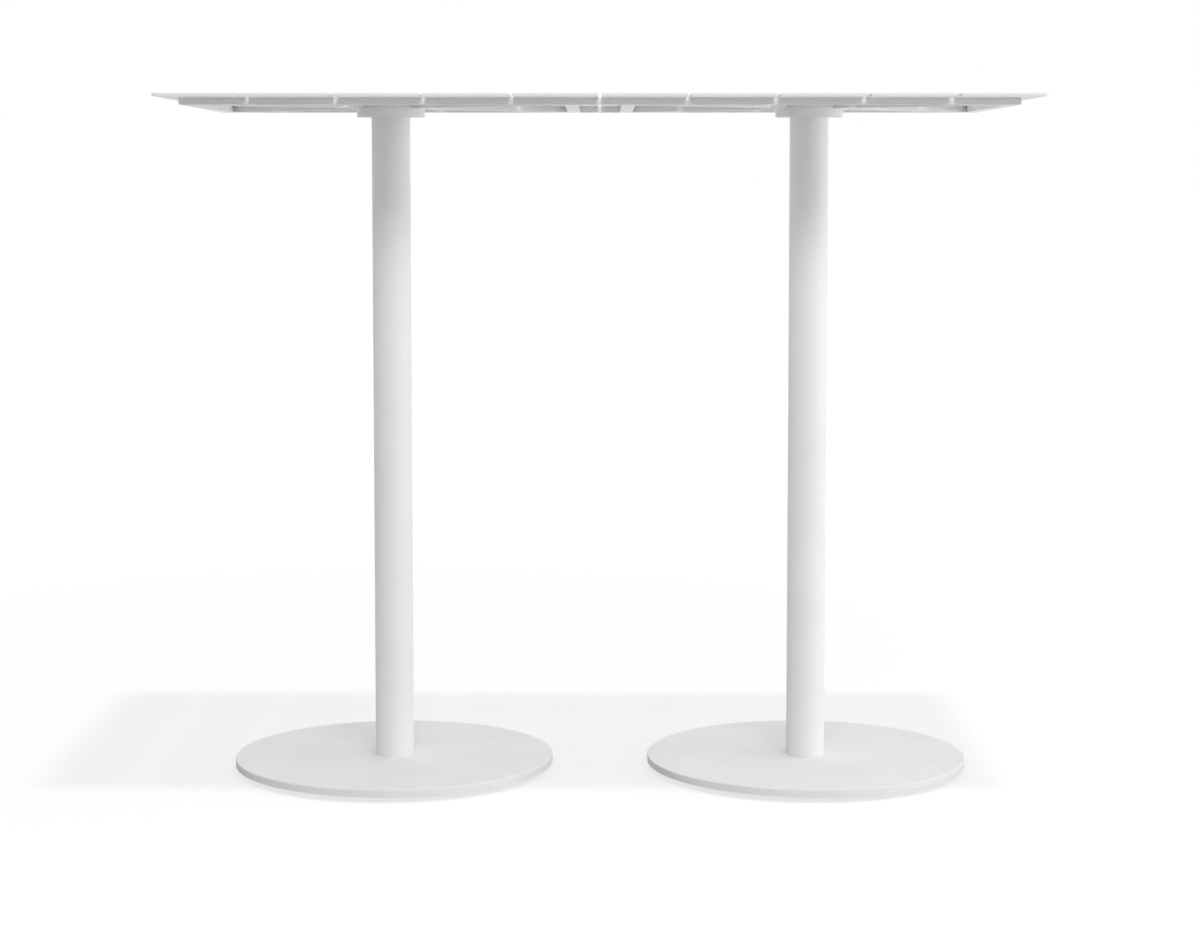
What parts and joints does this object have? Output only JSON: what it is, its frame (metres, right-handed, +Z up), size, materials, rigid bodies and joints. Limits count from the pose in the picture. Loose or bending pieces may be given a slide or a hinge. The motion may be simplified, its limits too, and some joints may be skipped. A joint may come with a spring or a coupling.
{
  "type": "bar table",
  "caption": "Long bar-height table with a slatted metal top on a braced bar frame, carried by round pillars on flat round base plates with levelling glides.",
  "frame": {"origin": "on the floor, midway between the two pillars", "axes": "+X along the table to the right, +Y from front to back, +Z up"},
  "size_m": [1.285, 0.64, 1.05],
  "materials": {
    "slat_coat": "satin white powder coat",
    "frame_coat": "satin white powder coat",
    "pillar_coat": "satin white powder coat",
    "base_coat": "satin white powder coat",
    "zinc_screw": "bright zinc plate",
    "glide_nylon": "moulded nylon",
    "stud_steel": "bright zinc plate"
  },
  "bodies": {
    "table": {"back_rail": "frame_coat", "front_rail": "frame_coat", "left_back_inner_arm": "frame_coat", "left_back_outer_arm": "frame_coat", "left_base_plate": "base_coat", "left_cross_rail": "frame_coat", "left_end_rail": "frame_coat", "left_flange_screws": "zinc_screw", "left_frame_hub": "frame_coat", "left_front_inner_arm": "frame_coat", "left_front_outer_arm": "frame_coat", "left_pillar": "pillar_coat", "left_pillar_flange": "pillar_coat", "right_back_inner_arm": "frame_coat", "right_back_outer_arm": "frame_coat", "right_base_plate": "base_coat", "right_cross_rail": "frame_coat", "right_end_rail": "frame_coat", "right_flange_screws": "zinc_screw", "right_frame_hub": "frame_coat", "right_front_inner_arm": "frame_coat", "right_front_outer_arm": "frame_coat", "right_pillar": "pillar_coat", "right_pillar_flange": "pillar_coat", "top_slat_01": "slat_coat", "top_slat_02": "slat_coat", "top_slat_03": "slat_coat", "top_slat_04": "slat_coat", "top_slat_05": "slat_coat", "top_slat_06": "slat_coat", "top_slat_07": "slat_coat", "top_slat_08": "slat_coat", "top_slat_09": "slat_coat", "top_slat_10": "slat_coat"},
    "left_glide_1": {"left_glide_pad_1": "glide_nylon", "left_glide_stud_1": "stud_steel"},
    "left_glide_2": {"left_glide_pad_2": "glide_nylon", "left_glide_stud_2": "stud_steel"},
    "left_glide_3": {"left_glide_pad_3": "glide_nylon", "left_glide_stud_3": "stud_steel"},
    "left_glide_4": {"left_glide_pad_4": "glide_nylon", "left_glide_stud_4": "stud_steel"},
    "right_glide_1": {"right_glide_pad_1": "glide_nylon", "right_glide_stud_1": "stud_steel"},
    "right_glide_2": {"right_glide_pad_2": "glide_nylon", "right_glide_stud_2": "stud_steel"},
    "right_glide_3": {"right_glide_pad_3": "glide_nylon", "right_glide_stud_3": "stud_steel"},
    "right_glide_4": {"right_glide_pad_4": "glide_nylon", "right_glide_stud_4": "stud_steel"}
  },
  "joints": [
    {"name": "left_glide_1_travel", "type": "slide", "parent": "table", "child": "left_glide_1", "axis": [0, 0, -1], "range_m": [0, 0.004]},
    {"name": "left_glide_2_travel", "type": "slide", "parent": "table", "child": "left_glide_2", "axis": [0, 0, -1], "range_m": [0, 0.004]},
    {"name": "left_glide_3_travel", "type": "slide", "parent": "table", "child": "left_glide_3", "axis": [0, 0, -1], "range_m": [0, 0.004]},
    {"name": "left_glide_4_travel", "type": "slide", "parent": "table", "child": "left_glide_4", "axis": [0, 0, -1], "range_m": [0, 0.004]},
    {"name": "right_glide_1_travel", "type": "slide", "parent": "table", "child": "right_glide_1", "axis": [0, 0, -1], "range_m": [0, 0.004]},
    {"name": "right_glide_2_travel", "type": "slide", "parent": "table", "child": "right_glide_2", "axis": [0, 0, -1], "range_m": [0, 0.004]},
    {"name": "right_glide_3_travel", "type": "slide", "parent": "table", "child": "right_glide_3", "axis": [0, 0, -1], "range_m": [0, 0.004]},
    {"name": "right_glide_4_travel", "type": "slide", "parent": "table", "child": "right_glide_4", "axis": [0, 0, -1], "range_m": [0, 0.004]}
  ]
}
